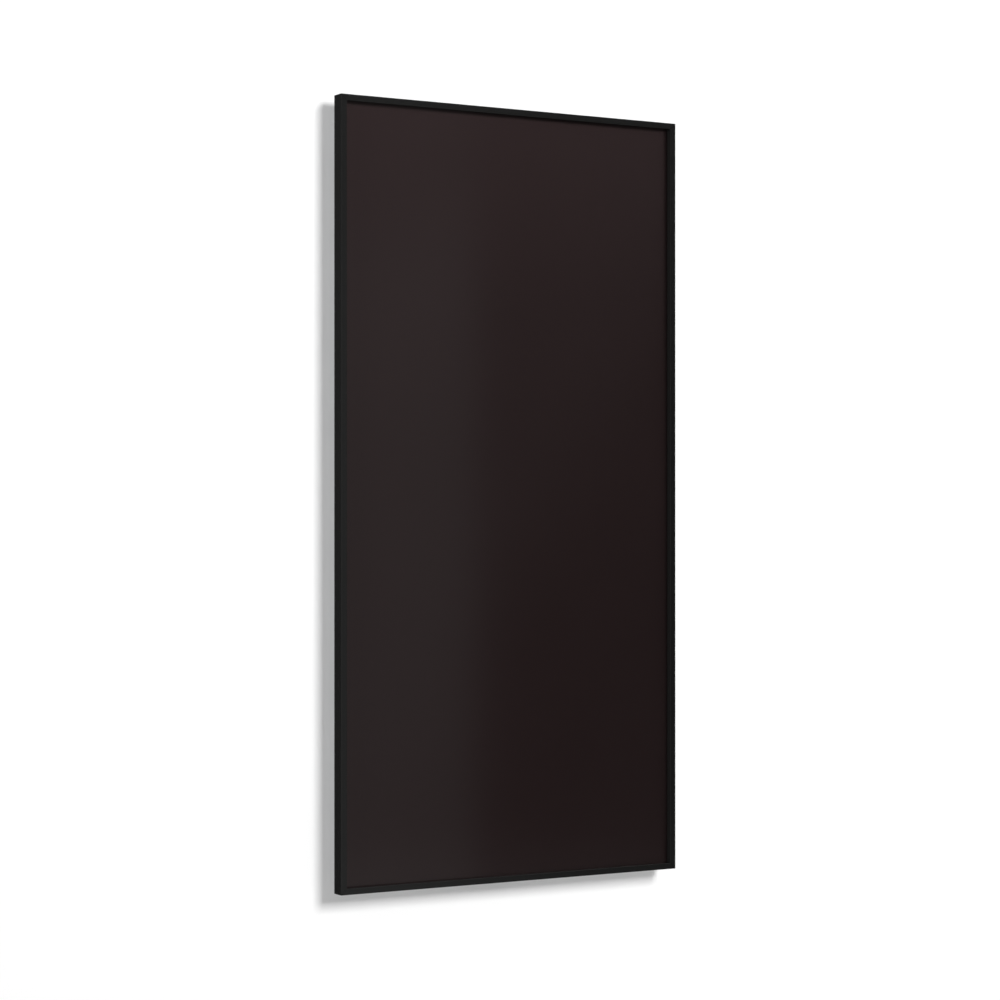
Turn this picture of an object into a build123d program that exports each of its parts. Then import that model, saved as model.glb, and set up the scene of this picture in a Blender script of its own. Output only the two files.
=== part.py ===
from build123d import *
import os
from math import cos, radians

# Wall-hung infrared panel heater, in millimetres.
#
# X runs to the right and Z up, as seen from the front; Y runs back into the wall. The origin lies in
# the wall plane, at the centre of the four slots that take the wall screws. "Depth" below is measured
# backwards from the front face of the frame.

# ---- Whole panel ----
panel_width = 600.0
panel_height = 1200.0
frame_depth = 24.0          # front face to back of the frame
wall_gap = 24.0             # back of the frame to the wall

# ---- Frame: aluminium extrusion with a hollow front chamber and a rear screw flange ----
outer_wall = 1.6
front_wall = 1.6
face_width = 9.5            # width of the band that shows from the front
lip_depth = 9.5             # front face to the seat behind the chamber
chamber_wall = 1.4          # inner and rear walls of the chamber
flange_wall = 1.6
flange_width = 16.0         # outside of the frame to the free edge of the flange
outer_edge_radius = 0.6
inner_edge_radius = 0.4

# ---- Corner keys in the chamber, held by the wall that is punched into their grooves ----
key_arm = 42.0
key_clearance = 0.2
key_end_chamfer = 1.5
key_groove_width = 3.0
key_groove_depth = 1.2
key_groove_start = 18.0     # outside corner of the key to its first groove
key_groove_pitch = 13.0
key_grooves = 2             # on each arm
punch_length = 3.0          # across the member
punch_depth = 1.0
punch_clearance = 0.3       # punched wall to the sides of its groove

# ---- Layers behind the frame's lip, from front to back ----
layer_clearance = 1.5       # edge of the plate to the outer wall
tape_thickness = 0.5
tape_setback = 1.0          # tape behind the visible edge of the lip
plate_thickness = 2.0
plate_corner = 3.0
mat_thickness = 1.2
mat_margin = 4.0            # edge of the plate to the edge of the mat
film_thickness = 0.3        # reflector foil, and the bus bars beside it
bar_width = 8.0
bar_margin = 6.0            # edge of the mat to the bar, and bar to foil
bar_end_margin = 20.0
insulation_clearance = 1.0  # insulation to the edge of the rear flange
insulation_rebate = 2.6     # under the flange, clear of the tips of the cover screws

# ---- Rear cover: pressed steel tray ----
screw_fit = 0.05            # radial clearance of every screw and rivet in its hole
cover_thickness = 0.8
cover_margin = 2.5          # outside of the frame to the edge of the cover
cover_corner = 4.0
plateau_inset = 30.0        # outside of the frame to the foot of the raised middle
plateau_rise = 3.0
plateau_corner = 14.0
swage_length = 430.0
swage_width = 18.0
swage_rise = 1.6
swage_pitch = 145.0
swage_margin = 60.0         # last swage to the hangers
press_angle = 45            # side walls of everything pressed into the tray
cover_screw_radius = 1.7
cover_screw_reach = 2.0     # tip of the screw past the flange
cover_screw_inset = 9.5     # outside of the frame to the row of screws
cover_screw_corner = 45.0   # outside of the frame to the first screw of a long row
cover_screw_share = 0.3     # screws of a short row from the middle, as a share of the panel's width
side_cover_screws = 5
end_cover_screws = 2
head_radius = 3.4
head_height = 2.0
head_taper = 20             # slope of a screw head's side

# ---- Hanging: folded steel strips, rails on the wall and hangers on the cover ----
strip_thickness = 2.0
bend_radius = 1.0           # inside radius of a fold
strip_corner = 3.0          # rounded corners at the ends of legs and lips
rail_inset = 150.0          # top or bottom of the panel to the line of wall slots
rail_standoff = 10.0        # wall to the middle of the rail's lip
rail_drop = 14.0            # slot line to the lower edge
rail_shoulder = 14.0        # slot line to the top of the web
slot_offset = 180.0         # middle of the rail to a slot
slot_length = 20.0
slot_width = 6.5
slot_land = 20.0            # end of a slot to the end of the rail
hook_depth = 10.0           # how far a hanger reaches down behind the rail
hook_room = 2.0             # under the hanger's lip
lower_seat_gap = 0.3        # the lower hangers carry nothing: the upper ones do
hanger_offset = 120.0       # middle of the panel to the middle of a hanger
hanger_width = 50.0
hanger_leg = 30.0
rivet_radius = 2.4
rivet_head_radius = 4.5
rivet_head_height = 1.3
rivet_head_taper = 35       # slope of a rivet head's side
rivet_offset = 14.0         # middle of a hanger to a rivet
rivet_rise = 17.0           # web of the hanger to its row of rivets

# ---- Junction box on the cover, below the lower rail ----
box_width = 100.0
box_height = 56.0
box_from_edge = 35.0        # bottom of the panel to the bottom of the box
box_wall = 2.0
box_corner = 5.0
box_to_wall = 2.3           # lid to the wall
lid_thickness = 2.4
lid_edge = 0.8
gasket_thickness = 0.5
boss_radius = 4.0
boss_inset = 5.5            # outside of the box to the middle of a boss
lid_screw_radius = 1.4
lid_screw_head_radius = 2.8
lid_screw_length = 11.0
box_rivet_offset = 30.0
box_rivet_rise = 12.0       # middle of the box to its rivets

# ---- Electrical parts ----
pole_pitch = 10.0
poles = 3
terminal_height = 18.0
terminal_depth = 10.0
terminal_side = 6.7         # floor to the sloping shoulder
terminal_crest = 11.0       # width of the flat top
terminal_wall = 2.0         # end walls beyond the outer poles
rib_width = 1.2
rib_rise = 1.2
wire_level = 5.0            # floor of the box to the middle of a wire hole
wire_fit = 0.3
wire_grip = 6.0             # how far a lead goes into its pole
clamp_screw_radius = 2.1
clamp_screw_length = 3.2
clamp_screw_offset = 3.5
clamp_slot_width = 0.6
clamp_slot_depth = 0.8
lead_radius = 1.1
lead_bend = 4.0
lead_drop = 9.0             # leads' passage above the terminal block
groove_clearance = 0.4
bushing_neck = 2.6
bushing_flange = 4.0
bushing_lip = 1.0
bushing_fit = 0.1
cutout_offset = 100.0       # middle of the panel to the thermal cut-out
cutout_cap_radius = 8.0
cutout_cap_height = 0.9
cutout_body_radius = 6.8
cutout_body_height = 6.5
cutout_tab_reach = 13.5
cutout_tab_width = 6.3
cutout_tab_thickness = 0.8
cutout_pocket_margin = 1.5
earth_room = 0.8            # end of the terminal block to the earth tag
earth_drop = 15.0           # middle of the box to the earth screw
earth_screw_radius = 2.0
earth_screw_reach = 1.8     # tip of the screw past the cover
earth_tag_radius = 4.2
earth_tag_thickness = 0.8
earth_tag_neck = 5.5        # earth screw to the crimped barrel
earth_tag_width = 3.8
barrel_length = 7.0
barrel_wall = 0.8
earth_lead_grip = 6.5       # how far the earth lead goes into the barrel
earth_lead_rise = 3.4       # above the terminal block
earth_lead_climb = 7.0      # from the floor of the box to the level of the wire holes
earth_lead_bend = 2.5       # where it turns into the middle pole
inlet_bore = 3.6            # for a sheathed lead of 7 mm
inlet_neck = 5.2
inlet_inner_flange = 6.2
inlet_outer_flange = 7.4
inlet_lip = 1.6
inlet_snout = 7.0
inlet_tip = 4.8

# ---- Places that follow from the sizes above ----
front_y = -(wall_gap + frame_depth)
half_width = panel_width / 2
half_height = panel_height / 2
wall_depth = frame_depth + wall_gap

key_corner = outer_wall + key_clearance
key_thickness = face_width - outer_wall - chamber_wall - 2 * key_clearance
key_groove_steps = [key_groove_start + key_groove_pitch * i for i in range(key_grooves)]

layer_edge = outer_wall + layer_clearance
plate_front = lip_depth + tape_thickness
plate_back = plate_front + plate_thickness
mat_back = plate_back + mat_thickness
film_back = mat_back + film_thickness
flange_front = frame_depth - flange_wall

plateau_inside = frame_depth + plateau_rise
plateau_outside = plateau_inside + cover_thickness

slot_height = half_height - rail_inset
rail_lip_top = rail_shoulder + hook_depth + hook_room
hanger_leg_middle = plateau_outside + strip_thickness / 2
hanger_lip_middle = wall_depth - rail_standoff + strip_thickness + bend_radius

box_middle = -half_height + box_from_edge + box_height / 2
box_floor = plateau_outside + box_wall
box_rim = wall_depth - box_to_wall - lid_thickness - gasket_thickness
wire_depth = box_floor + wire_level
terminal_width = poles * pole_pitch + 2 * terminal_wall
terminal_top = box_middle + terminal_height / 2
lead_height = terminal_top + lead_drop
lead_depth = film_back + lead_radius
pole_offset = (poles - 1) * pole_pitch / 2
earth_lead_depth = box_floor + barrel_wall + lead_radius
inlet_depth = (box_floor + box_rim) / 2
bar_offset = half_width - layer_edge - mat_margin - bar_margin - bar_width / 2


# ---- Shared ways of drawing ----
def at_depth(depth):
    """The drawing plane across X and Z at a depth behind the front face."""
    return Plane.XZ.offset(-(front_y + depth))


def layer(outline, near, far, taper=0):
    """An outline across X and Z, filled from one depth back to a greater one."""
    return extrude(at_depth(near) * outline, far - near, dir=(0, 1, 0), taper=taper)


def pin(radius, near, far, x=0.0, z=0.0, taper=0):
    """A round pin or hole along Y, which may taper towards its far end."""
    return layer(Pos(x, z) * Circle(radius), near, far, taper)


def spread(count, span):
    """Evenly spaced places from end to end of a span that is centred on zero."""
    step = span / (count - 1)
    return [-span / 2 + step * i for i in range(count)]


def group(solids):
    """Separate solids that share one node."""
    return Compound(children=[s for part in solids for s in part.solids()])


def all_corners(piece):
    """A piece at the lower left corner, and its mirror images at the other three."""
    left = [piece, mirror(piece, about=Plane.XY)]
    return left + [mirror(p, about=Plane.YZ) for p in left]


# ---- Frame ----
def frame_section():
    """The extrusion's section: X is inwards from the outside of the frame, Y is depth."""
    outline = make_face(
        Polyline(
            (0, 0),
            (face_width, 0),
            (face_width, lip_depth),
            (outer_wall, lip_depth),
            (outer_wall, flange_front),
            (flange_width, flange_front),
            (flange_width, frame_depth),
            (0, frame_depth),
            close=True,
        )
    )
    outline = fillet([v for v in outline.vertices() if v.X < outer_wall / 2], outer_edge_radius)
    inner_corner = outline.vertices().sort_by_distance((face_width, 0))[0]
    outline = fillet(inner_corner, inner_edge_radius)
    chamber = Rectangle(
        face_width - outer_wall - chamber_wall,
        lip_depth - front_wall - chamber_wall,
        align=(Align.MIN, Align.MIN),
    )
    return outline - Pos(outer_wall, front_wall) * chamber


def frame_member(length):
    """A mitred length of the extrusion along X, with its outside at the bottom. The rear wall of its
    chamber is punched into the grooves of the two keys."""
    across = Plane((-length / 2, front_y, 0), x_dir=(0, 0, 1), z_dir=(-1, 0, 0))
    bar = extrude(across * frame_section(), length, dir=(1, 0, 0))
    punched = Rectangle(key_groove_width - 2 * punch_clearance, punch_length)
    for step in key_groove_steps:
        for side in (-1, 1):
            mark = Pos(side * (length / 2 - key_corner - step), key_corner + key_thickness / 2) * punched
            bar -= layer(mark, lip_depth - punch_depth, lip_depth)
            bar += layer(mark, lip_depth - chamber_wall - punch_depth, lip_depth - chamber_wall)
    reach = 2 * flange_width
    mitre = Polygon(
        (-length / 2, 0),
        (length / 2, 0),
        (length / 2 - reach, reach),
        (reach - length / 2, reach),
        align=None,
    )
    return bar & layer(mitre, 0, frame_depth)


def cover_screw_places():
    """Where the rear cover is screwed to the flanges of the frame."""
    row_x = half_width - cover_screw_inset
    row_z = half_height - cover_screw_inset
    high = spread(side_cover_screws, panel_height - 2 * cover_screw_corner)
    wide = spread(end_cover_screws, 2 * cover_screw_share * panel_width)
    sides = [(x, z) for x in (-row_x, row_x) for z in high]
    ends = [(x, z) for x in wide for z in (-row_z, row_z)]
    return sides + ends


def frame():
    """The four mitred members, drilled for the cover screws."""
    lower = Pos(0, 0, -half_height) * frame_member(panel_width)
    upper = Rot(0, 180, 0) * lower
    left = Rot(0, 90, 0) * Pos(0, 0, -half_width) * frame_member(panel_height)
    right = Rot(0, 180, 0) * left
    hole = cover_screw_radius + screw_fit
    holes = [pin(hole, flange_front, frame_depth, x, z) for x, z in cover_screw_places()]
    members = {"frame_bottom": lower, "frame_top": upper, "frame_left": left, "frame_right": right}
    return {name: member - holes for name, member in members.items()}


def corner_keys():
    """L-shaped cast keys that join the members inside the chamber, grooved across the back."""
    near = front_wall + key_clearance
    far = lip_depth - chamber_wall - key_clearance
    outline = make_face(
        Polyline(
            (0, 0),
            (key_arm, 0),
            (key_arm, key_thickness),
            (key_thickness, key_thickness),
            (key_thickness, key_arm),
            (0, key_arm),
            close=True,
        )
    )
    tips = sorted(outline.vertices(), key=lambda v: max(v.X, v.Y))[-4:]
    grooves = Sketch()
    for step in key_groove_steps:
        grooves += Pos(step, key_thickness / 2) * Rectangle(key_groove_width, key_thickness)
        grooves += Pos(key_thickness / 2, step) * Rectangle(key_thickness, key_groove_width)
    key = layer(chamfer(tips, key_end_chamfer), near, far) - layer(grooves, far - key_groove_depth, far)
    return group(all_corners(Pos(key_corner - half_width, 0, key_corner - half_height) * key))


# ---- Layers that the frame holds ----
def panel_outline(inset, corner):
    """The panel's rectangle drawn in by an inset, with rounded corners."""
    return RectangleRounded(panel_width - 2 * inset, panel_height - 2 * inset, corner)


def plate_tape():
    """Double-sided tape round the frame's lip, out of sight behind its edge."""
    ring = panel_outline(layer_edge, plate_corner)
    ring -= Rectangle(
        panel_width - 2 * (face_width - tape_setback), panel_height - 2 * (face_width - tape_setback)
    )
    return layer(ring, lip_depth, plate_front)


def bar_outline(side):
    """One bus bar, along a side of the heating mat."""
    height = panel_height - 2 * (layer_edge + mat_margin + bar_end_margin)
    return Pos(side * bar_offset, 0) * Rectangle(bar_width, height)


def reflector_foil():
    """Foil between the bus bars, holed for the thermal cut-out."""
    inset = layer_edge + mat_margin + 2 * bar_margin + bar_width
    foil = Rectangle(panel_width - 2 * inset, panel_height - 2 * inset)
    return layer(foil - cutout_pocket(), mat_back, film_back)


def cutout_pocket():
    """Outline of the space round the thermal cut-out and its tabs."""
    return Pos(cutout_offset, lead_height) * Circle(cutout_tab_reach + cutout_pocket_margin)


def insulation_board():
    """Mineral board, rebated under the flanges, grooved for the leads; the cover's rim holds it."""
    inner = flange_width + insulation_clearance
    shoulder = flange_front - insulation_rebate
    board = layer(panel_outline(layer_edge, plate_corner), film_back, shoulder)
    board += layer(Rectangle(panel_width - 2 * inner, panel_height - 2 * inner), shoulder, frame_depth)
    board -= layer(cutout_pocket(), film_back, frame_depth)
    groove = 2 * (lead_radius + groove_clearance)
    run = 2 * (bar_offset + bar_width / 2)
    board -= layer(Pos(0, lead_height) * Rectangle(run, groove), film_back, film_back + groove)
    for side in (-1, 1):
        board -= pin(bushing_flange, film_back, frame_depth, side * pole_offset, lead_height)
    return board


def thermal_cutout():
    """Disc thermostat on the heating mat, with a tab at each side."""
    x, z = cutout_offset, lead_height
    body = pin(cutout_cap_radius, mat_back, mat_back + cutout_cap_height, x, z)
    body += pin(cutout_body_radius, mat_back, mat_back + cutout_body_height, x, z)
    tabs = Pos(x, z) * Rectangle(2 * cutout_tab_reach, cutout_tab_width)
    low = lead_depth - cutout_tab_thickness / 2
    return body + layer(tabs, low, low + cutout_tab_thickness)


def lead(points, bends=lead_bend):
    """A round insulated lead along straight runs joined by tangent bends, of one radius or of one each."""
    places = [(x, front_y + depth, z) for x, depth, z in points]
    path = FilletPolyline(*places, radius=bends) if len(places) > 2 else Line(*places)
    return sweep(Plane(origin=path @ 0, z_dir=path % 0) * Circle(lead_radius), path)


def internal_leads():
    """Leads from the bus bars to the outer poles; the right one passes the thermal cut-out."""
    tab = cutout_tab_reach + wire_fit
    end = terminal_top - wire_grip
    starts = [(-1, -bar_offset), (1, cutout_offset - tab)]
    leads = [
        lead(
            [
                (start, lead_depth, lead_height),
                (side * pole_offset, lead_depth, lead_height),
                (side * pole_offset, wire_depth, lead_height),
                (side * pole_offset, wire_depth, end),
            ]
        )
        for side, start in starts
    ]
    leads.append(
        lead([(cutout_offset + tab, lead_depth, lead_height), (bar_offset, lead_depth, lead_height)])
    )
    return group(leads)


# ---- Rear cover ----
def pressing(outline, base, rise):
    """Something pressed outwards into sheet whose inside lies at base: its outside and its inside."""
    wall = cover_thickness / cos(radians(press_angle))
    outside = layer(outline(0), base, base + rise + cover_thickness, taper=press_angle)
    inside = layer(outline(wall), base, base + rise, taper=press_angle)
    return outside, inside


def swage_places():
    """Heights of the swages, between the lower and the upper hangers."""
    low = -slot_height + rail_lip_top + hanger_leg + swage_margin
    high = slot_height - rail_drop - swage_margin
    count = int((high - low) // swage_pitch) + 1
    middle = (low + high) / 2
    return [middle + place for place in spread(count, (count - 1) * swage_pitch)]


def rear_cover():
    """Steel tray: a rim on the flanges, a raised middle and a row of swages."""
    rim = panel_outline(cover_margin, cover_corner)
    middle = lambda inset: panel_outline(plateau_inset - cover_thickness + inset, plateau_corner)
    tray = layer(rim, frame_depth, frame_depth + cover_thickness)
    outside, inside = pressing(middle, frame_depth, plateau_rise)
    tray = tray + outside - inside
    for z in swage_places():
        swage = lambda inset: Pos(0, z) * SlotOverall(
            swage_length - 2 * inset, swage_width - 2 * inset
        )
        outside, inside = pressing(swage, plateau_inside, swage_rise)
        tray = tray + outside - inside
    far = plateau_outside
    hole = cover_screw_radius + screw_fit
    holes = [pin(hole, frame_depth, frame_depth + cover_thickness, x, z) for x, z in cover_screw_places()]
    rivet = rivet_radius + screw_fit
    holes += [pin(rivet, plateau_inside, far, x, z) for x, z in hanger_rivet_places() + box_rivet_places()]
    holes += [pin(bushing_neck, plateau_inside, far, side * pole_offset, lead_height) for side in (-1, 1)]
    holes.append(pin(earth_screw_radius + screw_fit, plateau_inside, far, *earth_place()))
    return tray - holes


def pan_screw(radius, near, seat, x, z):
    """A screw from its tip to its seat, with a tapered pan head behind the seat."""
    return pin(radius, near, seat, x, z) + pin(head_radius, seat, seat + head_height, x, z, head_taper)


def cover_screws():
    """Self-tapping screws through the cover's rim into the flanges."""
    tip = flange_front - cover_screw_reach
    seat = frame_depth + cover_thickness
    return group([pan_screw(cover_screw_radius, tip, seat, x, z) for x, z in cover_screw_places()])


# ---- Hanging ----
def folded_strip(points, width):
    """Steel strip folded along a line of (depth, height) points, centred on X."""
    line = FilletPolyline(
        *[(front_y + depth, z) for depth, z in points], radius=bend_radius + strip_thickness / 2
    )
    section = Plane.YZ * trace(line, line_width=strip_thickness)
    strip = Pos(-width / 2, 0, 0) * extrude(section, width, dir=(1, 0, 0))
    corners = strip.edges().filter_by(Axis.Y).filter_by(lambda e: e.length < 1.5 * strip_thickness)
    return fillet(corners, strip_corner)


def wall_rail():
    """A rail that is screwed to the wall: leg on the wall, web forward, lip up."""
    leg = wall_depth - strip_thickness / 2
    lip = wall_depth - rail_standoff
    web = rail_shoulder - strip_thickness / 2
    width = 2 * (slot_offset + slot_length / 2 + slot_land)
    rail = folded_strip([(leg, -rail_drop), (leg, web), (lip, web), (lip, rail_lip_top)], width)
    slot = SlotOverall(slot_length, slot_width)
    near = wall_depth - strip_thickness
    return rail - [layer(Pos(x, 0) * slot, near, wall_depth) for x in (-slot_offset, slot_offset)]


def hanger_web(row):
    """Height of the middle of a hanger's web: row is 1 at the top and -1 at the bottom."""
    gap = 0 if row > 0 else lower_seat_gap
    return row * slot_height + rail_lip_top + strip_thickness / 2 + gap


def hanger_rivet_places():
    """Two rivets across the leg of each hanger."""
    return [
        (side * hanger_offset + step * rivet_offset, hanger_web(row) + rivet_rise)
        for row in (1, -1)
        for side in (-1, 1)
        for step in (-1, 1)
    ]


def hanger(side, row):
    """A hanger on the cover: leg up on the cover, web back, lip down behind the rail."""
    web = hanger_web(row)
    points = [
        (hanger_leg_middle, web + hanger_leg),
        (hanger_leg_middle, web),
        (hanger_lip_middle, web),
        (hanger_lip_middle, web - strip_thickness / 2 - hook_depth),
    ]
    strip = Pos(side * hanger_offset, 0, 0) * folded_strip(points, hanger_width)
    leg_back = plateau_outside + strip_thickness
    hole = rivet_radius + screw_fit
    return strip - [pin(hole, plateau_outside, leg_back, x, z) for x, z in hanger_rivet_places()]


def rivet(seat, x, z):
    """A rivet: tapered head on its seat, shank through the sheets below."""
    head = pin(rivet_head_radius, seat, seat + rivet_head_height, x, z, rivet_head_taper)
    return head + pin(rivet_radius, plateau_inside, seat, x, z)


# ---- Junction box ----
def box_outline(inset=0.0):
    """The box's rounded rectangle, drawn in by an inset."""
    return Pos(0, box_middle) * RectangleRounded(
        box_width - 2 * inset, box_height - 2 * inset, box_corner - inset
    )


def lid_screw_places():
    """One screw at each corner of the box."""
    dx = box_width / 2 - boss_inset
    dz = box_height / 2 - boss_inset
    return [(x, box_middle + z) for x in (-dx, dx) for z in (-dz, dz)]


def box_rivet_places():
    """Two rivets through the floor of the box."""
    return [(x, box_middle + box_rivet_rise) for x in (-box_rivet_offset, box_rivet_offset)]


def earth_place():
    """The earth screw, beside the terminal block."""
    return terminal_width / 2 + earth_room + earth_tag_radius, box_middle - earth_drop


def box_wall_section():
    """Walls of the box, which the gasket repeats."""
    return box_outline() - box_outline(box_wall)


def box_boss_section():
    """Walls and screw bosses of the box."""
    section = box_wall_section()
    for x, z in lid_screw_places():
        section += (Pos(x, z) * Circle(boss_radius)) & box_outline()
    for x, z in lid_screw_places():
        section -= Pos(x, z) * Circle(lid_screw_radius + screw_fit)
    return section


def junction_box_base():
    """Moulded base with its floor on the cover and the cable inlet in its lower wall."""
    base = layer(box_outline(), plateau_outside, box_floor)
    base += layer(box_boss_section(), box_floor, box_rim)
    rivet_hole = rivet_radius + screw_fit
    base -= [pin(rivet_hole, plateau_outside, box_floor, x, z) for x, z in box_rivet_places()]
    base -= [pin(bushing_neck, plateau_outside, box_floor, s * pole_offset, lead_height) for s in (-1, 1)]
    base -= pin(earth_screw_radius + screw_fit, plateau_outside, box_floor, *earth_place())
    inlet = Cylinder(inlet_neck, box_wall, align=(Align.CENTER, Align.CENTER, Align.MIN))
    return base - Pos(0, front_y + inlet_depth, box_middle - box_height / 2) * inlet


def junction_box_lid():
    """Flat lid with a bevelled edge and countersunk holes."""
    near = box_rim + gasket_thickness
    far = near + lid_thickness
    lid = layer(box_outline(), near, far)
    lid = chamfer(lid.faces().sort_by(Axis.Y)[-1].edges(), lid_edge)
    return lid - [lid_screw(x, z, screw_fit) for x, z in lid_screw_places()]


def lid_screw(x, z, clearance=0.0):
    """A countersunk screw, flush with the lid; with a clearance, the hole for it."""
    far = box_rim + gasket_thickness + lid_thickness
    radius = lid_screw_radius + clearance
    cone = lid_screw_head_radius - lid_screw_radius
    shank = pin(radius, far - lid_screw_length, far, x, z)
    head = Cone(
        lid_screw_head_radius + clearance, radius, cone, align=(Align.CENTER, Align.CENTER, Align.MIN)
    )
    return shank + Pos(x, front_y + far, z) * Rot(90, 0, 0) * head


def terminal_block():
    """Three-pole block with sloping shoulders, barrier ribs, wire holes and screw wells."""
    half = terminal_height / 2
    low = front_y + box_floor
    shoulder = low + terminal_side
    top = low + terminal_depth
    crest = terminal_crest / 2
    outline = Polygon(
        (low, -half),
        (low, half),
        (shoulder, half),
        (top, crest),
        (top, -crest),
        (shoulder, -half),
        align=None,
    )
    section = Plane.YZ * Pos(0, box_middle) * outline
    block = Pos(-terminal_width / 2, 0, 0) * extrude(section, terminal_width, dir=(1, 0, 0))
    edges = [(i - poles / 2) * pole_pitch for i in range(poles + 1)]
    rib = Rectangle(rib_width, terminal_crest)
    far = box_floor + terminal_depth
    for x in edges:
        block += layer(Pos(x, box_middle) * rib, far, far + rib_rise)
    for x in pole_places():
        hole = Box(2 * (lead_radius + wire_fit), 2 * (lead_radius + wire_fit), terminal_height)
        block -= Pos(x, front_y + wire_depth, box_middle) * hole
        for dz in (-clamp_screw_offset, clamp_screw_offset):
            block -= pin(clamp_screw_radius + screw_fit, wire_depth, far, x, box_middle + dz)
    return block


def pole_places():
    """Middle of each pole across the terminal block."""
    return spread(poles, 2 * pole_offset)


def terminal_screws():
    """Slotted clamping screws, two in each pole, standing on the wires."""
    near = wire_depth + lead_radius + screw_fit
    far = near + clamp_screw_length
    slot = Rectangle(3 * clamp_screw_radius, clamp_slot_width)
    screws = []
    for x in pole_places():
        for dz in (-clamp_screw_offset, clamp_screw_offset):
            screw = pin(clamp_screw_radius, near, far, x, box_middle + dz)
            screws.append(screw - layer(Pos(x, box_middle + dz) * slot, far - clamp_slot_depth, far))
    return group(screws)


def earth_tag():
    """Ring terminal under the earth screw, its crimped barrel pointing up beside the terminal block."""
    x, z = earth_place()
    outline = Circle(earth_tag_radius)
    outline += Pos(0, earth_tag_neck / 2) * Rectangle(earth_tag_width, earth_tag_neck)
    outline -= Circle(earth_screw_radius + screw_fit)
    tag = layer(Pos(x, z) * outline, box_floor, box_floor + earth_tag_thickness)
    barrel = Circle(lead_radius + barrel_wall) - Circle(lead_radius)
    return tag + Pos(x, front_y + earth_lead_depth, z + earth_tag_neck) * extrude(barrel, barrel_length)


def earth_lead():
    """Lead from the barrel of the earth tag, over the end of the terminal block, to its middle pole."""
    x, z = earth_place()
    above = terminal_top + earth_lead_rise
    points = [
        (x, earth_lead_depth, z + earth_tag_neck + barrel_length - earth_lead_grip),
        (x, earth_lead_depth, above),
        (earth_lead_climb, earth_lead_depth, above),
        (0, wire_depth, above),
        (0, wire_depth, terminal_top - wire_grip),
    ]
    return lead(points, [lead_bend, lead_bend, earth_lead_bend])


def earth_screw():
    """Screw through the tag and the floor of the box into the steel cover."""
    tip = plateau_inside - earth_screw_reach
    return pan_screw(earth_screw_radius, tip, box_floor + earth_tag_thickness, *earth_place())


def lead_bushings():
    """Rubber bushings where the leads pass the cover and the floor of the box."""
    bore = lead_radius + bushing_fit
    bushings = []
    for side in (-1, 1):
        x, z = side * pole_offset, lead_height
        bushing = pin(bushing_neck, plateau_inside, box_floor, x, z)
        bushing += pin(bushing_flange, plateau_inside - bushing_lip, plateau_inside, x, z)
        bushing += pin(bushing_flange, box_floor, box_floor + bushing_lip, x, z)
        bushings.append(bushing - pin(bore, plateau_inside - bushing_lip, box_floor + bushing_lip, x, z))
    return group(bushings)


def cable_grommet():
    """Rubber inlet in the lower wall of the box: a turned shape round a vertical axis."""
    section = make_face(
        Polyline(
            (inlet_bore, box_wall + inlet_lip),
            (inlet_inner_flange, box_wall + inlet_lip),
            (inlet_inner_flange, box_wall),
            (inlet_neck, box_wall),
            (inlet_neck, 0),
            (inlet_outer_flange, 0),
            (inlet_outer_flange, -inlet_lip),
            (inlet_tip, -inlet_lip - inlet_snout),
            (inlet_bore, -inlet_lip - inlet_snout),
            close=True,
        )
    )
    turned = revolve(Plane.XZ * section, Axis.Z)
    return Pos(0, front_y + inlet_depth, box_middle - box_height / 2) * turned


# ---- The assembly: one file per node ----
def assembly():
    """Every node by name."""
    nodes = dict(frame())
    nodes["corner_keys"] = corner_keys()
    nodes["plate_tape"] = plate_tape()
    nodes["radiating_plate"] = layer(panel_outline(layer_edge, plate_corner), plate_front, plate_back)
    mat = panel_outline(layer_edge + mat_margin, plate_corner)
    nodes["heating_mat"] = layer(mat, plate_back, mat_back)
    nodes["bus_bars"] = group([layer(bar_outline(side), mat_back, film_back) for side in (-1, 1)])
    nodes["reflector_foil"] = reflector_foil()
    nodes["insulation_board"] = insulation_board()
    nodes["thermal_cutout"] = thermal_cutout()
    nodes["internal_leads"] = internal_leads()
    nodes["lead_bushings"] = lead_bushings()
    nodes["rear_cover"] = rear_cover()
    nodes["rear_cover_screws"] = cover_screws()
    for side, side_name in ((-1, "left"), (1, "right")):
        for row, row_name in ((1, "top"), (-1, "bottom")):
            nodes[f"hanger_{row_name}_{side_name}"] = hanger(side, row)
    leg_back = plateau_outside + strip_thickness
    nodes["hanger_rivets"] = group([rivet(leg_back, x, z) for x, z in hanger_rivet_places()])
    nodes["wall_rail_top"] = Pos(0, 0, slot_height) * wall_rail()
    nodes["wall_rail_bottom"] = Pos(0, 0, -slot_height) * wall_rail()
    nodes["junction_box_base"] = junction_box_base()
    nodes["junction_box_gasket"] = layer(box_wall_section(), box_rim, box_rim + gasket_thickness)
    nodes["junction_box_lid"] = junction_box_lid()
    nodes["junction_box_screws"] = group([lid_screw(x, z) for x, z in lid_screw_places()])
    nodes["junction_box_rivets"] = group([rivet(box_floor, x, z) for x, z in box_rivet_places()])
    nodes["terminal_block"] = terminal_block()
    nodes["terminal_screws"] = terminal_screws()
    nodes["earth_lead"] = earth_lead()
    nodes["earth_tag"] = earth_tag()
    nodes["earth_screw"] = earth_screw()
    nodes["cable_grommet"] = cable_grommet()
    return nodes


os.makedirs("parts", exist_ok=True)
for name, shape in assembly().items():
    export_step(shape, f"parts/{name}.step")
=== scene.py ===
import math

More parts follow.
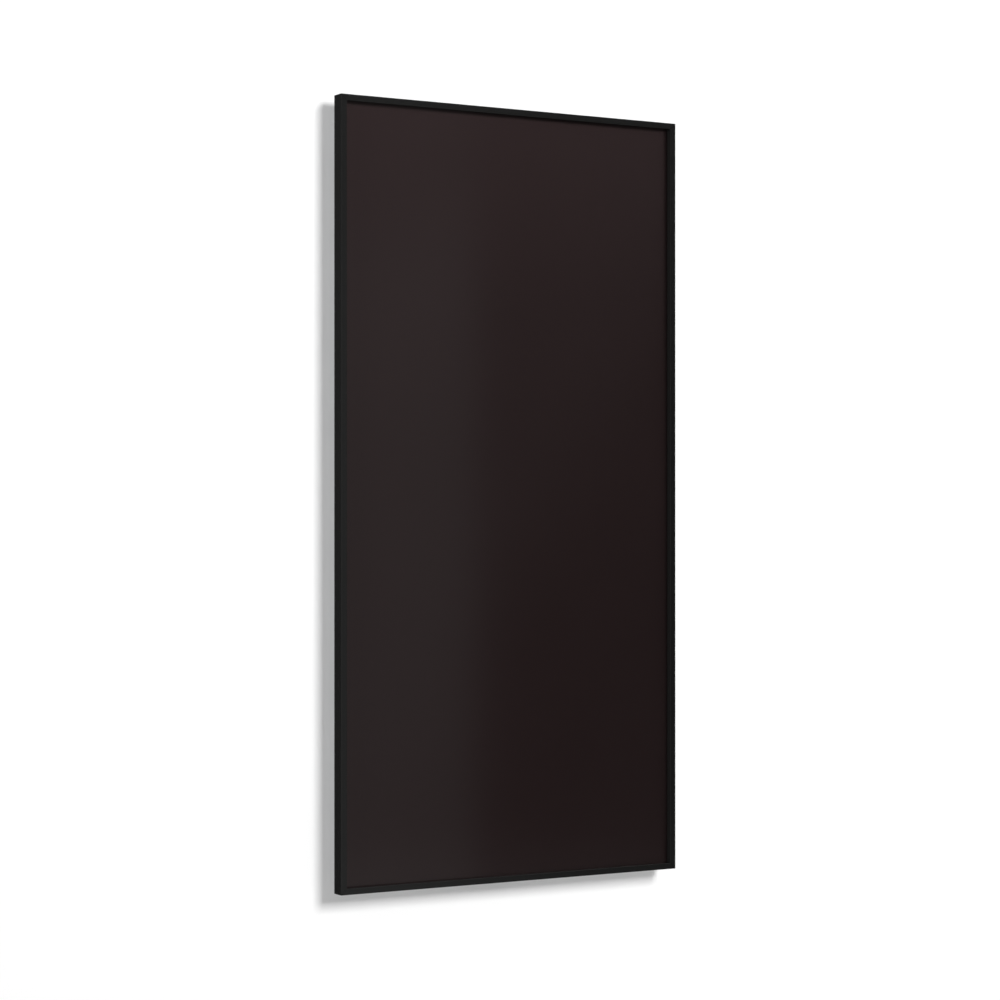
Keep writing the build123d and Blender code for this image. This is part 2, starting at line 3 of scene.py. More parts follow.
import bpy
import numpy as np
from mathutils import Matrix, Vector


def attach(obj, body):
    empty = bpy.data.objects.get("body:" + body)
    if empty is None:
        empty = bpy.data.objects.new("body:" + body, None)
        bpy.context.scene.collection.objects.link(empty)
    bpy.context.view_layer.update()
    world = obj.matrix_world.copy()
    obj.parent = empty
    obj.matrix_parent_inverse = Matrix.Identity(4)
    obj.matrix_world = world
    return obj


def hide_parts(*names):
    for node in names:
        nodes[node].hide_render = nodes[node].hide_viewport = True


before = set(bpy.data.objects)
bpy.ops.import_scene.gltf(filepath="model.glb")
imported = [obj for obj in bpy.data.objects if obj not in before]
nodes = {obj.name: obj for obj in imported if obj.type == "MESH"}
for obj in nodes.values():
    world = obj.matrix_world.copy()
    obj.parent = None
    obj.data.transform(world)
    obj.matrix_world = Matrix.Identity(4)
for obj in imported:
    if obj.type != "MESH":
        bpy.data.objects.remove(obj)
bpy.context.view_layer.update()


# --- Frame --------------------------------------------------------------------------------------
# Four mitred aluminium extrusions round the panel, powder coated black with a fine sand texture.
# Corner keys in the hollow front chamber hold the mitres shut, so each corner shows a hairline joint.

class Wire:
    """A socket in a node tree, used in plain arithmetic: each operator adds the Math node it stands for."""

    def __init__(self, tree, socket=None):
        self.tree, self.socket = tree, socket

    def connect(self, made, sockets):
        """Gives a node's sockets their values or their links."""
        for name, value in sockets.items():
            if isinstance(value, Wire):
                self.tree.links.new(value.socket, made.inputs[name])
            else:
                made.inputs[name].default_value = value

    def node(self, kind, settings, sockets, out=0):
        """Adds a node of any type: its settings first, then its sockets. Returns one of its outputs."""
        made = self.tree.nodes.new("ShaderNode" + kind)
        for name, value in settings.items():
            setattr(made, name, value)
        self.connect(made, sockets)
        return Wire(self.tree, made.outputs[out])

    def maths(self, operation, *terms):
        """A Math node on values or sockets."""
        return self.node("Math", {"operation": operation}, dict(enumerate(terms)))

    def __add__(self, other):
        return self.maths("ADD", self, other)

    def __radd__(self, other):
        return self.maths("ADD", other, self)

    def __sub__(self, other):
        return self.maths("SUBTRACT", self, other)

    def __rsub__(self, other):
        return self.maths("SUBTRACT", other, self)

    def __mul__(self, other):
        return self.maths("MULTIPLY", self, other)

    def __rmul__(self, other):
        return self.maths("MULTIPLY", other, self)

    def __abs__(self):
        return self.maths("ABSOLUTE", self)

    def axis(self, name):
        """One coordinate of a vector."""
        return self.node("SeparateXYZ", {}, {0: self}, name)

    def stretch(self, factors):
        """A vector with each of its coordinates multiplied."""
        return self.node("VectorMath", {"operation": "MULTIPLY"}, {0: self, 1: factors})

    def noise(self, scale, detail=2.0):
        """Cloudy noise from 0 to 1, with scale waves to the metre."""
        return self.node("TexNoise", {}, {"Vector": self, "Scale": scale, "Detail": detail})

    def step(self, low, high):
        """0 below low, 1 above high and smooth between them."""
        return self.node("MapRange", {"interpolation_type": "SMOOTHSTEP"},
                         {"Value": self, "From Min": low, "From Max": high})

    def mix(self, first, second):
        """The first colour where this is 0, the second where it is 1."""
        return self.node("Mix", {"data_type": "RGBA"}, {0: self, 6: first, 7: second}, out=2)

    def bump(self, height):
        """A normal from this pattern, whose full range stands height metres proud."""
        return self.node("Bump", {}, {"Height": self, "Distance": height})


def grey(level, warmth=0.0):
    """A colour of one level, with its red raised and its blue lowered by a share of it."""
    return (level * (1 + warmth), level, level * (1 - warmth), 1.0)


def surface(name, constants, pattern):
    """A material: the shader's constants, then the sockets that pattern(place) gives, where place is the
    Object coordinate, in metres."""
    material = bpy.data.materials.new(name)
    material.use_nodes = True
    place = Wire(material.node_tree).node("TexCoord", {}, {}, "Object")
    place.connect(material.node_tree.nodes["Principled BSDF"], {**constants, **pattern(place)})
    return material


def dress(material, *names):
    """Gives CAD nodes their finish."""
    for name in names:
        for held in nodes[name].material_slots:
            held.material = material


half_width, half_height = 0.300, 0.600
mitre_hairline = 0.00012


def powder_coat(place):
    """Fine sand texture over faint clouding, with a dark line where two members meet at 45 degrees."""
    sand = place.noise(1500, 3)
    cloud = place.noise(9)
    off_mitre = abs(abs(place.axis("X")) - half_width - abs(place.axis("Z")) + half_height)
    metal = off_mitre.step(mitre_hairline, 2.5 * mitre_hairline)
    tone = (0.7 * sand + 0.3 * cloud).mix((0.0070, 0.0070, 0.0069, 1), (0.0100, 0.0100, 0.0098, 1))
    return {
        "Base Color": metal.mix((0.002, 0.002, 0.002, 1), tone),
        "Roughness": 0.30 + 0.10 * sand,
        "Normal": (0.6 * sand + metal).bump(0.00003),
    }


frame_paint = surface(
    "frame_powder_coat",
    {"Specular IOR Level": 0.01, "Coat Weight": 0.58, "Coat Roughness": 0.14},
    powder_coat,
)
dress(frame_paint, "frame_left", "frame_right", "frame_top", "frame_bottom")


# --- Corner keys --------------------------------------------------------------------------------
# Die-cast zinc angles in the frame's front chamber. The frame's inner wall is punched into their grooves.

def die_cast(place):
    """Matt grey skin with the flow marks and small pits of a casting."""
    flow = place.stretch((1, 1, 0.35)).noise(260, 3)
    pits = place.noise(2200).step(0.66, 0.74)
    tone = flow.mix(grey(0.36, 0.01), grey(0.50, 0.01))
    return {
        "Base Color": pits.mix(tone, grey(0.20)),
        "Roughness": 0.42 + 0.25 * flow,
        "Normal": (flow - pits).bump(0.00004),
    }


dress(surface("die_cast_zinc", {"Metallic": 1.0}, die_cast), "corner_keys")


# --- Radiating plate and its tape ---------------------------------------------------------------
# The front plate is 2 mm aluminium sheet with a satin, brown-black heat coating, and lies 10 mm behind
# the frame's face. A black foam tape seals it to the back of the frame.

def heat_coating(place):
    """Slow clouding and fine grain of a sprayed satin coat, with a shallow orange peel."""
    cloud = place.noise(5)
    grain = place.noise(2600)
    peel = place.noise(420)
    tone = 0.5 * cloud + 0.5 * grain
    return {
        "Base Color": tone.mix((0.0085, 0.0054, 0.0054, 1), (0.0107, 0.0070, 0.0070, 1)),
        "Roughness": 0.27 + 0.04 * grain + 0.03 * cloud,
        "Normal": (0.25 * peel + 0.75 * grain).bump(0.000006),
    }


plate_coating = surface(
    "plate_heat_coating",
    {"Specular IOR Level": 0.23, "Specular Tint": (1.0, 0.62, 0.64, 1),
     "Coat Weight": 0.5, "Coat Roughness": 0.065},
    heat_coating,
)
dress(plate_coating, "radiating_plate")


def foam(place):
    """Closed cells about half a millimetre across."""
    cells = place.node("TexVoronoi", {}, {"Vector": place, "Scale": 1800}, "Distance")
    return {
        "Base Color": cells.mix(grey(0.016), grey(0.040)),
        "Roughness": 0.80 + 0.15 * cells,
        "Normal": cells.bump(0.0002),
    }


dress(surface("foam_tape", {"Specular IOR Level": 0.3}, foam), "plate_tape")


# --- Heating mat --------------------------------------------------------------------------------
# A printed carbon heating layer between two laminated sheets, glued to the back of the plate, with a
# copper bar along each long side. Behind it lie a foil and a board of pressed mineral fibre.

bands_per_metre = 60


def laminate(place):
    """Brown laminate with the printed carbon showing through it as bands across the mat."""
    bands = place.maths("FRACT", bands_per_metre * place.axis("Z"))
    printed = abs(bands - 0.5).step(0.18, 0.22)
    weave = place.noise(900)
    tone = printed.mix((0.060, 0.026, 0.018, 1), (0.28, 0.10, 0.055, 1))
    return {
        "Base Color": (0.3 * weave).mix(tone, (0.02, 0.01, 0.008, 1)),
        "Roughness": 0.45 + 0.2 * weave,
        "Normal": (printed * 0.3 + weave).bump(0.00005),
    }


def copper_strip(place):
    """Rolled copper with lines along its length and brown tarnish in clouds."""
    rolled = place.stretch((60, 1, 1)).noise(40, 3)
    tarnish = place.noise(45, 3).step(0.45, 0.75)
    return {
        "Base Color": tarnish.mix((0.80, 0.42, 0.26, 1), (0.42, 0.19, 0.11, 1)),
        "Roughness": 0.26 + 0.2 * rolled + 0.12 * tarnish,
        "Normal": rolled.bump(0.00001),
    }


def crinkled_foil(place):
    """Bright foil with the small sharp creases that it gets when it is laid by hand."""
    facets = {"Vector": place, "Scale": 70}
    creases = place.node("TexVoronoi", {"feature": "DISTANCE_TO_EDGE"}, facets, "Distance")
    wrinkle = place.noise(180, 3)
    return {
        "Base Color": wrinkle.mix(grey(0.74), grey(0.86)),
        "Roughness": 0.16 + 0.14 * wrinkle,
        "Normal": (creases.step(0.0, 0.12) + 0.5 * wrinkle).bump(0.0003),
    }


def pressed_fibre(place):
    """Felted mineral fibre: long thin fibres over a lumpy, straw-coloured board."""
    fibres = place.stretch((1, 1, 9)).noise(480, 4) + place.stretch((9, 1, 1)).noise(480, 4)
    lumps = place.noise(70, 3)
    return {
        "Base Color": (0.5 * fibres).mix((0.50, 0.44, 0.31, 1), (0.86, 0.82, 0.68, 1)),
        "Roughness": 0.84 + 0.1 * lumps,
        "Normal": (0.5 * fibres + lumps).bump(0.0006),
    }


dress(surface("heating_laminate", {"Specular IOR Level": 0.4}, laminate), "heating_mat")
dress(surface("copper_strip", {"Metallic": 1.0}, copper_strip), "bus_bars")
dress(surface("crinkled_foil", {"Metallic": 1.0}, crinkled_foil), "reflector_foil")
dress(surface("pressed_fibre", {"Specular IOR Level": 0.2}, pressed_fibre), "insulation_board")


# --- Cut-out and leads --------------------------------------------------------------------------
# A bimetal thermal cut-out in a plated cap sits on the mat, in a hole of the foil. Silicone leads join it
# and the bars to the terminal block, through two rubber bushings in the rear cover.

def plated_cap(place):
    """Nickel plate with turning rings round the cap and faint finger marks."""
    rings = place.stretch((1, 0, 1)).noise(3000)
    marks = place.noise(350, 3)
    return {
        "Base Color": marks.mix(grey(0.55, 0.02), grey(0.68, 0.02)),
        "Roughness": 0.22 + 0.2 * marks,
        "Normal": rings.bump(0.00001),
    }


def silicone(place):
    """Dark red sleeve, soft and slightly dusty."""
    dust = place.noise(600, 3)
    return {
        "Base Color": dust.mix((0.34, 0.030, 0.025, 1), (0.47, 0.070, 0.055, 1)),
        "Roughness": 0.42 + 0.2 * dust,
        "Normal": dust.bump(0.00003),
    }


def rubber(place):
    """Black rubber with a fine moulded grain and a grey bloom."""
    grain = place.noise(2400, 3)
    bloom = place.noise(90, 3)
    return {
        "Base Color": (0.6 * bloom + 0.4 * grain).mix(grey(0.012), grey(0.036, 0.03)),
        "Roughness": 0.55 + 0.2 * bloom,
        "Normal": grain.bump(0.00004),
    }


soft_rubber = surface("soft_rubber", {"Specular IOR Level": 0.4}, rubber)
dress(surface("plated_cap", {"Metallic": 1.0}, plated_cap), "thermal_cutout")
dress(surface("silicone_sleeve", {"Specular IOR Level": 0.4}, silicone), "internal_leads")
dress(soft_rubber, "lead_bushings")


# --- Rear cover ---------------------------------------------------------------------------------
# A tray pressed from 0.8 mm galvanised sheet, with a raised middle and five swages that stiffen it. It
# closes the back of the frame, and its rim is screwed to the frame's flange.

def spangle(place):
    """Zinc crystals about 9 mm across, each with its own tone and gloss, over fine rolling lines."""
    crystal = {"Vector": place.stretch((1, 0.4, 1)), "Scale": 115}
    tone = place.node("TexVoronoi", {}, crystal, "Color").axis("X")
    edge = place.node("TexVoronoi", {"feature": "DISTANCE_TO_EDGE"}, crystal, "Distance").step(0.0, 0.06)
    rolled = place.stretch((1, 1, 45)).noise(22, 3)
    cloud = place.noise(4)
    shade = 0.40 * tone + 0.25 * rolled + 0.35 * cloud
    return {
        "Base Color": shade.mix((0.40, 0.41, 0.42, 1), (0.66, 0.67, 0.68, 1)),
        "Roughness": 0.34 + 0.16 * tone + 0.10 * rolled,
        "Normal": (0.5 * edge + 0.5 * tone).bump(0.000012),
    }


galvanised = surface("galvanised_spangle", {"Metallic": 1.0}, spangle)
dress(galvanised, "rear_cover")


# --- Cover screws -------------------------------------------------------------------------------
# Fourteen zinc-plated pan-head screws with a cross recess hold the rear cover to the frame's flange.

def cross_radius(angle, wing, reach):
    """Distance from the middle to the edge of a cross: reach / cos at the end of a wing, and wing / sin
    along its side, whichever is nearer, where the angle is counted from the nearest wing."""
    near = np.abs((angle + math.pi / 4) % (math.pi / 2) - math.pi / 4)
    return np.minimum(reach / np.cos(near), wing / np.maximum(np.sin(near), 1e-6))


def cross_angles(wing, reach):
    """Angles round a screw that fall on every corner of its cross, and 9 or 10 degrees apart between."""
    corner = math.atan2(wing, reach)
    quarter = np.concatenate([np.linspace(-corner, corner, 4),
                              np.linspace(corner, math.pi / 2 - corner, 7)[1:-1]])
    return np.concatenate([quarter + turn * math.pi / 2 for turn in range(4)])


def shells(name, points, looped=False):
    """A mesh of closed shells from points[shell, ring, around]. Each cell between two rings is a quad. A
    flat face closes the first ring and the last, or, where the rings are looped, quads join those two."""
    index = np.arange(points[..., 0].size).reshape(points.shape[:-1])
    if looped:
        index = np.concatenate([index, index[:, :1]], axis=1)
    onward = np.roll(index, -1, axis=2)
    quads = np.stack([index[:, :-1], index[:, 1:], onward[:, 1:], onward[:, :-1]], axis=-1).reshape(-1, 4)
    ends = [] if looped else np.concatenate([index[:, 0], index[:, -1, ::-1]]).tolist()
    mesh = bpy.data.meshes.new(name)
    mesh.from_pydata(points.reshape(-1, 3), [], quads.tolist() + ends)
    mesh.shade_smooth()
    mesh.set_sharp_from_angle(angle=math.radians(32))
    made = bpy.data.objects.new(name, mesh)
    bpy.context.scene.collection.objects.link(made)
    return made


def turned(name, places, seat, rows, wing=0.0, reach=0.0, seed=0):
    """Closed shells turned round the Y axis, one at each (x, z) of places, in one mesh. Row i of rows is a
    ring: its radius, its height above seat, and its share of the cross, from 0, a circle, to 1. A point is
    (x + r cos a, seat + height, z + r sin a), with r = (1 - share) radius + share radius cross(a)."""
    angles = cross_angles(wing, reach) if wing else np.linspace(0, 2 * math.pi, 33)[:-1]
    radius, height, share = (np.array(column)[:, None] for column in zip(*rows))
    cross = cross_radius(angles, wing, reach) if wing else np.ones_like(angles)
    reached = radius * ((1 - share) + share * cross[None, :])
    turns = np.random.default_rng(seed).uniform(0, 2 * math.pi, len(places))[:, None, None]
    middle = np.array(places)[:, :, None, None]
    around = angles[None, None, :] + turns
    points = np.stack([
        middle[:, 0] + reached * np.cos(around),
        np.broadcast_to(seat + height, (len(places),) + reached.shape),
        middle[:, 1] + reached * np.sin(around),
    ], axis=-1)
    return shells(name, points)


def stand_for(made, node, material):
    """A new piece takes a CAD node's place, on its body and in its finish."""
    made.data.materials.append(material)
    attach(made, "heater")
    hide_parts(node)


def zinc(place):
    """Bright zinc plate with a faint yellow and blue passivation and small scratches."""
    film = place.noise(160, 2)
    scratch = place.stretch((1, 1, 14)).noise(700, 2).step(0.62, 0.72)
    return {
        "Base Color": film.mix((0.62, 0.62, 0.56, 1), (0.58, 0.62, 0.68, 1)),
        "Roughness": 0.24 + 0.16 * film + 0.15 * scratch,
        "Normal": scratch.bump(0.00001),
    }


zinc_plate = surface("zinc_plate", {"Metallic": 1.0}, zinc)

cover_seat = -0.0232
screw_inset, first_screw, end_screw = 0.0095, 0.045, 0.180
row_x, row_z = half_width - screw_inset, half_height - screw_inset
side_rows = np.linspace(first_screw - half_height, half_height - first_screw, 5)
cover_screw_places = (
    [(x, z) for x in (-row_x, row_x) for z in side_rows]
    + [(x, z) for x in (-end_screw, end_screw) for z in (-row_z, row_z)]
)

# Rings from the shank up, over the head and down into the cross.
pan_head = [
    (0.0006, -0.0044, 0), (0.0017, -0.0034, 0), (0.0017, 0.0, 0), (0.0034, 0.0, 0),
    (0.0034, 0.0007, 0), (0.0033, 0.0012, 0), (0.0029, 0.0017, 0), (0.0024, 0.00192, 0),
    (1.07, 0.0020, 1), (1.0, 0.00194, 1), (0.70, 0.0008, 1), (0.35, 0.0005, 1),
]
cover_screws = turned(
    "cover_screw_set", cover_screw_places, cover_seat, pan_head, wing=0.00042, reach=0.0016, seed=3
)
stand_for(cover_screws, "rear_cover_screws", zinc_plate)


# --- Hangers ------------------------------------------------------------------------------------
# Four folded steel hangers, riveted to the rear cover. The lips of the upper two drop behind the lip of
# the upper wall rail and carry the panel, and the lower two only keep it to the wall.

def plated_sheet(place):
    """Cold-rolled, zinc-plated sheet: rolling lines, clouds of passivation and a few handling marks."""
    rolled = place.stretch((1, 30, 30)).noise(30, 3)
    film = place.noise(38, 2)
    rub = place.noise(14, 4).step(0.58, 0.66)
    return {
        "Base Color": (0.6 * film + 0.4 * rolled).mix((0.46, 0.48, 0.50, 1), (0.68, 0.68, 0.66, 1)),
        "Roughness": 0.26 + 0.14 * rolled + 0.14 * rub,
        "Normal": rolled.bump(0.00001),
    }


hanger_steel = surface("hanger_plated_sheet", {"Metallic": 1.0}, plated_sheet)
dress(hanger_steel, "hanger_top_left", "hanger_top_right", "hanger_bottom_left", "hanger_bottom_right")


def drawn_aluminium(place):
    """Drawn aluminium, dull where the setting tool pressed it."""
    pressed = place.noise(900, 2)
    return {
        "Base Color": pressed.mix(grey(0.66), grey(0.80)),
        "Roughness": 0.28 + 0.22 * pressed,
        "Normal": pressed.bump(0.00001),
    }


rivet_aluminium = surface("rivet_aluminium", {"Metallic": 1.0}, drawn_aluminium)
leg_back = -0.0182
hanger_offset, rivet_offset = 0.120, 0.014
rivet_rows = (0.494, -0.4057)
hanger_rivet_places = [
    (side * hanger_offset + step * rivet_offset, z)
    for z in rivet_rows for side in (-1, 1) for step in (-1, 1)
]

# Rings from the shank up, over the dome and down to the stub of the mandrel in its hole.
blind_rivet = [
    (0.0024, -0.0028, 0), (0.0024, 0.0, 0), (0.0045, 0.0, 0), (0.0045, 0.00035, 0), (0.0042, 0.0008, 0),
    (0.0034, 0.00115, 0), (0.0022, 0.0013, 0), (0.00135, 0.00125, 0), (0.00118, 0.0011, 0),
    (0.00118, 0.0005, 0), (0.00108, 0.0005, 0), (0.00102, 0.0008, 0),
]
hanger_rivets = turned("hanger_rivet_set", hanger_rivet_places, leg_back, blind_rivet)
stand_for(hanger_rivets, "hanger_rivets", rivet_aluminium)


# --- Wall rails ---------------------------------------------------------------------------------
# Two steel rails, folded from strip, that stay on the wall. Each is held through two slots, and its lip
# stands 10 mm off the wall for the hangers to drop behind.

lip_back = -0.008


def rail_sheet(place):
    """The same plated sheet as the hangers, with the lip rubbed smoother where a hanger slides on it."""
    made = plated_sheet(place)
    across = abs(abs(place.axis("X")) - hanger_offset)
    worn = (1 - across.step(0.022, 0.030)) * place.maths("LESS_THAN", place.axis("Y"), lip_back)
    made["Roughness"] = made["Roughness"] - 0.10 * worn
    return made


dress(surface("rail_plated_sheet", {"Metallic": 1.0}, rail_sheet), "wall_rail_top", "wall_rail_bottom")


# --- Junction box -------------------------------------------------------------------------------
# A moulded black plastic box, riveted to the rear cover, with a rubber gasket and a lid on four
# countersunk screws. The mains lead enters through a grommet in its lower wall.

def moulded_plastic(place):
    """Spark-eroded mould texture, slightly glossier in clouds."""
    spark = place.noise(1700, 3)
    cloud = place.noise(40, 2)
    return {
        "Base Color": (0.6 * spark + 0.4 * cloud).mix(grey(0.014), grey(0.030)),
        "Roughness": 0.42 + 0.16 * spark + 0.06 * cloud,
        "Normal": spark.bump(0.00005),
    }


box_plastic = surface("box_moulded_plastic", {"Specular IOR Level": 0.45}, moulded_plastic)
dress(box_plastic, "junction_box_base", "junction_box_lid")
dress(soft_rubber, "junction_box_gasket")

lid_face, box_middle = -0.0023, -0.537
boss_x, boss_z = 0.0445, 0.0225
lid_screw_places = [(x, box_middle + z) for x in (-boss_x, boss_x) for z in (-boss_z, boss_z)]

# Rings from the tip up, over the flush head and down into the cross.
countersunk = [
    (0.0006, -0.0110, 0), (0.0014, -0.0102, 0), (0.0014, -0.0014, 0), (0.0028, 0.0, 0),
    (0.0027, 0.00002, 0), (1.07, 0.00002, 1), (1.0, -0.00004, 1), (0.66, -0.0010, 1), (0.33, -0.0013, 1),
]
lid_screws = turned(
    "junction_box_screw_set", lid_screw_places, lid_face, countersunk, wing=0.00036, reach=0.00135, seed=5
)
stand_for(lid_screws, "junction_box_screws", zinc_plate)
dress(rivet_aluminium, "junction_box_rivets")


# --- Cable grommet ------------------------------------------------------------------------------
# A rubber grommet snapped into the lower wall of the box: a flange on each face of the wall, and a ribbed
# snout that points down, open for a 7 mm lead.

inlet_middle = (0.0, -0.0117, -0.565)
snout_ribs, rib_height = 4, 0.0008
snout_root, snout_end = 0.0056, 0.0048
snout_top, snout_length = -0.0021, 0.0056


def grommet_outline():
    """Radius and height of the closed section: down the outside, round the tip and up the bore. Along the
    snout the radius is the taper plus half a rib's height times 1 - cos, which swings once for each rib."""
    along = np.linspace(0, 1, 8 * snout_ribs + 1)
    taper = snout_root + (snout_end - snout_root) * along
    snout = np.stack([
        taper + rib_height / 2 * (1 - np.cos(2 * math.pi * snout_ribs * along)),
        snout_top - snout_length * along,
    ], axis=1)
    flanges = [
        (0.0038, 0.0036), (0.0058, 0.0036), (0.0062, 0.0032), (0.0062, 0.0022), (0.0060, 0.0020),
        (0.0052, 0.0020), (0.0052, 0.0000), (0.0070, 0.0000), (0.0074, -0.0004), (0.0074, -0.0012),
        (0.0070, -0.0016), (0.0060, -0.0018),
    ]
    tip = [(0.0048, -0.0081), (0.0045, -0.0086), (0.0039, -0.0086), (0.0036, -0.0083)]
    bore = [(0.0036, -0.0060), (0.0036, -0.0020), (0.0036, 0.0034)]
    return np.concatenate([flanges, snout, tip, bore])


def upright(name, middle, outline, around):
    """A looped section turned round a vertical axis: (x + r cos a, y + r sin a, z + height)."""
    angles = np.linspace(0, 2 * math.pi, around + 1)[:-1]
    radius, height = outline[:, :1], outline[:, 1:]
    points = np.stack([
        middle[0] + radius * np.cos(angles),
        middle[1] + radius * np.sin(angles),
        np.broadcast_to(middle[2] + height, (len(outline), around)),
    ], axis=-1)
    return shells(name, points[None], looped=True)


grommet = upright("grommet", inlet_middle, grommet_outline(), around=40)
stand_for(grommet, "cable_grommet", soft_rubber)


# --- Terminals ----------------------------------------------------------------------------------
# A three-pole terminal block with slotted clamp screws. A green lead joins its middle pole to a tinned
# ring tag, which its own screw holds to the steel cover as the earth.

def terminal_plastic(place):
    """Off-white glossy moulding, a little yellow, with a faint flow pattern."""
    flow = place.stretch((1, 1, 3)).noise(120, 3)
    return {
        "Base Color": flow.mix((0.70, 0.68, 0.60, 1), (0.80, 0.79, 0.73, 1)),
        "Roughness": 0.28 + 0.12 * flow,
        "Normal": flow.bump(0.00002),
    }


earth_lead_middle = -0.0163


def earth_sleeve(place):
    """Green sleeve with a yellow band along each side of its runs, soft and slightly dusty."""
    dust = place.noise(600, 3)
    band = abs(place.axis("Y") - earth_lead_middle).step(0.0004, 0.0006)
    sleeve = band.mix((0.55, 0.44, 0.03, 1), (0.040, 0.24, 0.035, 1))
    return {
        "Base Color": (0.25 * dust).mix(sleeve, grey(0.30)),
        "Roughness": 0.42 + 0.2 * dust,
        "Normal": dust.bump(0.00003),
    }


def tinned_copper(place):
    """Hot-dipped tin: soft, slightly uneven, with small dull freckles."""
    dip = place.noise(420, 3)
    freckles = place.noise(1500, 2).step(0.60, 0.70)
    return {
        "Base Color": freckles.mix(grey(0.66, 0.03), grey(0.48, 0.03)),
        "Roughness": 0.26 + 0.16 * dip + 0.12 * freckles,
        "Normal": dip.bump(0.00002),
    }


dress(surface("terminal_moulding", {"Specular IOR Level": 0.5}, terminal_plastic), "terminal_block")
dress(surface("earth_sleeve", {"Specular IOR Level": 0.4}, earth_sleeve), "earth_lead")
dress(surface("tinned_copper", {"Metallic": 1.0}, tinned_copper), "earth_tag")
dress(zinc_plate, "terminal_screws", "earth_screw")


# --- Studio -------------------------------------------------------------------------------------
# A white wall behind the panel catches its shadow, over a pale floor. The wall is one-sided and stops
# no light, so that the back of the panel is lit and seen from behind.

wall_plane, floor_height, stage_reach = 0.0004, -1.25, 6.0


def stage_sheet(name, corners, tone, lift, one_sided):
    """A flat sheet of the studio. Camera rays get lift on top of the lit tone, so bare parts are white."""
    mesh = bpy.data.meshes.new(name)
    mesh.from_pydata(corners, [], [(0, 1, 2, 3)])
    made = bpy.data.objects.new(name, mesh)
    bpy.context.scene.collection.objects.link(made)
    material = bpy.data.materials.new(name)
    material.use_nodes = True
    tree = material.node_tree
    tree.nodes.clear()
    wire = Wire(tree)
    path = tree.nodes.new("ShaderNodeLightPath")
    camera = Wire(tree, path.outputs["Is Camera Ray"])
    paper = wire.node("BsdfDiffuse", {}, {"Color": grey(tone)})
    glow = wire.node("Emission", {}, {"Color": grey(1.0), "Strength": camera * lift})
    shown = wire.node("AddShader", {}, {0: paper, 1: glow})
    if one_sided:
        behind = wire.node("NewGeometry", {}, {}, "Backfacing")
        clear = wire.node("BsdfTransparent", {}, {})
        shown = wire.node("MixShader", {}, {0: behind, 1: shown, 2: clear})
    end = tree.nodes.new("ShaderNodeOutputMaterial")
    tree.links.new(shown.socket, end.inputs["Surface"])
    mesh.materials.append(material)
    return made


wall = stage_sheet(
    "studio_wall",
    [(-stage_reach, wall_plane, floor_height), (stage_reach, wall_plane, floor_height),
     (stage_reach, wall_plane, stage_reach), (-stage_reach, wall_plane, stage_reach)],
    tone=0.90, lift=0.095, one_sided=True,
)
wall.visible_shadow = wall.visible_diffuse = wall.visible_glossy = False
floor = stage_sheet(
    "studio_floor",
    [(-stage_reach, -stage_reach, floor_height), (stage_reach, -stage_reach, floor_height),
     (stage_reach, stage_reach, floor_height), (-stage_reach, stage_reach, floor_height)],
    tone=0.86, lift=0.42, one_sided=False,
)
floor.visible_diffuse = floor.visible_glossy = False


def softbox(name, place, size, watts):
    """A square lamp that faces the panel."""
    data = bpy.data.lights.new(name, "AREA")
    data.shape, data.size, data.energy = "SQUARE", size, watts
    lamp = bpy.data.objects.new(name, data)
    lamp.location = place
    lamp.rotation_euler = (-Vector(place)).to_track_quat("-Z", "Y").to_euler()
    lamp.visible_camera = False
    bpy.context.scene.collection.objects.link(lamp)
    return lamp


# The key throws the shadow. The wash stands in the same place and lights only the stage, so that it is
# white beside a plainly lit panel. The fill lights everything but the wall. A last lamp lights the back.
key_place = (1.86, -6.9, 2.9)
key = softbox("key_upper_right", key_place, size=2.5, watts=250)
wash = softbox("wash_on_the_stage", key_place, size=2.5, watts=240)
fill = softbox("fill_left", (-4.0, -0.7, 0.5), size=1.0, watts=134)
key.visible_glossy = wash.visible_glossy = fill.visible_glossy = False
washed = bpy.data.collections.new("lit_by_wash")
washed.objects.link(wall)
washed.objects.link(floor)
wash.light_linking.receiver_collection = washed
unlit = bpy.data.collections.new("not_lit_by_fill")
unlit.objects.link(wall)
unlit.collection_objects[0].light_linking.link_state = "EXCLUDE"
fill.light_linking.receiver_collection = unlit
softbox("back_upper_right", (1.9, 3.2, 1.7), size=1.8, watts=34)

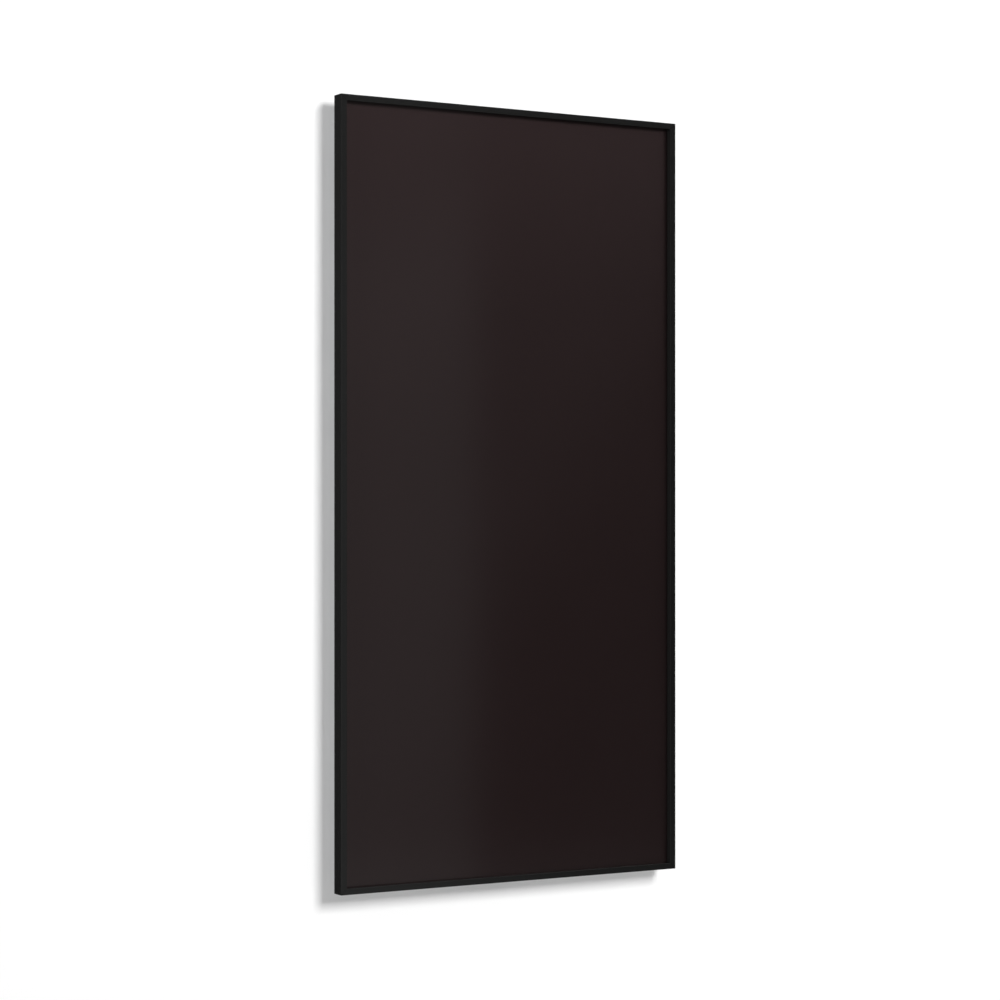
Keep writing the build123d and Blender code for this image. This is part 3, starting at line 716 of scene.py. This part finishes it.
# The world is white to the camera and even to matt surfaces. A glossy surface mirrors a shaped room
# instead, by the direction that its ray takes: across, along and up are its parts on X, Y and Z. In front
# of the panel these are
#   card    a grey card, from the left to 29 degrees right of straight ahead, darker above eye level
#   rise    a soft light, left of a line that starts at the card's edge and leans to the right
#   crown   a bright band, 13 to 37 degrees up
#   ground  the floor, from 7 degrees down
#   flank   the far right of the room
# and behind it the light is even, a little stronger above and from the floor, but for dusk, a dark part
# that the frame's left side mirrors to the main camera.
world = bpy.data.worlds.new("studio")
bpy.context.scene.world = world
world.use_nodes = True
sky = world.node_tree
sky.nodes.clear()
room = Wire(sky)
path = sky.nodes.new("ShaderNodeLightPath")
camera_ray = Wire(sky, path.outputs["Is Camera Ray"])
glossy_ray = Wire(sky, path.outputs["Is Glossy Ray"])
ambient = 0.42
away = room.node("TexCoord", {}, {}, "Generated")
across, along, up = (away.axis(name) for name in "XYZ")
card_edge = math.tan(math.radians(29.35))
side_mirror = math.tan(math.radians(26.4))
card = (1 - (across + card_edge * along).step(-0.006, 0.006)) * (1 - 0.6 * up.step(0.08, 0.15))
crown = up.step(0.22, 0.34) * (1 - up.step(0.45, 0.60))
rise = (up - 1.5 * (across + card_edge * along)).step(-0.10, 0.0)
ground = (-1 * up).step(0.118, 0.15)
behind = along.step(-0.1, 0.3)
flank = across.step(0.80, 0.95)
front = 0.33 * card + 0.09 * rise + 4.9 * crown + 0.25 * ground + 0.6 * flank
dusk = (1 - abs(across + side_mirror * along).step(0.22, 0.34)) * (1 - abs(up).step(0.34, 0.48))
back = (0.53 + 0.40 * ground) * (1 - dusk) + 0.04 * up.step(-0.15, 0.15)
seen = (1 - behind) * front + behind * back
light = (1 - glossy_ray) * ambient + glossy_ray * seen
strength = camera_ray + (1 - camera_ray) * light
backdrop = room.node("Background", {}, {"Color": grey(1.0), "Strength": strength})
end = sky.nodes.new("ShaderNodeOutputWorld")
sky.links.new(backdrop.socket, end.inputs["Surface"])


# --- Camera -------------------------------------------------------------------------------------
# Level, at the middle of the panel's height, 30 degrees to its left and four metres away.

camera = bpy.data.objects.new("camera", bpy.data.cameras.new("camera"))
camera.data.sensor_width = 36.0
camera.data.lens = 93.08
camera.data.shift_y = 0.0176
camera.location = (-2.0223, -3.5180, -0.0346)
camera.rotation_euler = (math.radians(90), 0, math.radians(-29.91))
bpy.context.scene.collection.objects.link(camera)
bpy.context.scene.camera = camera
bpy.context.scene.view_settings.view_transform = "Standard"
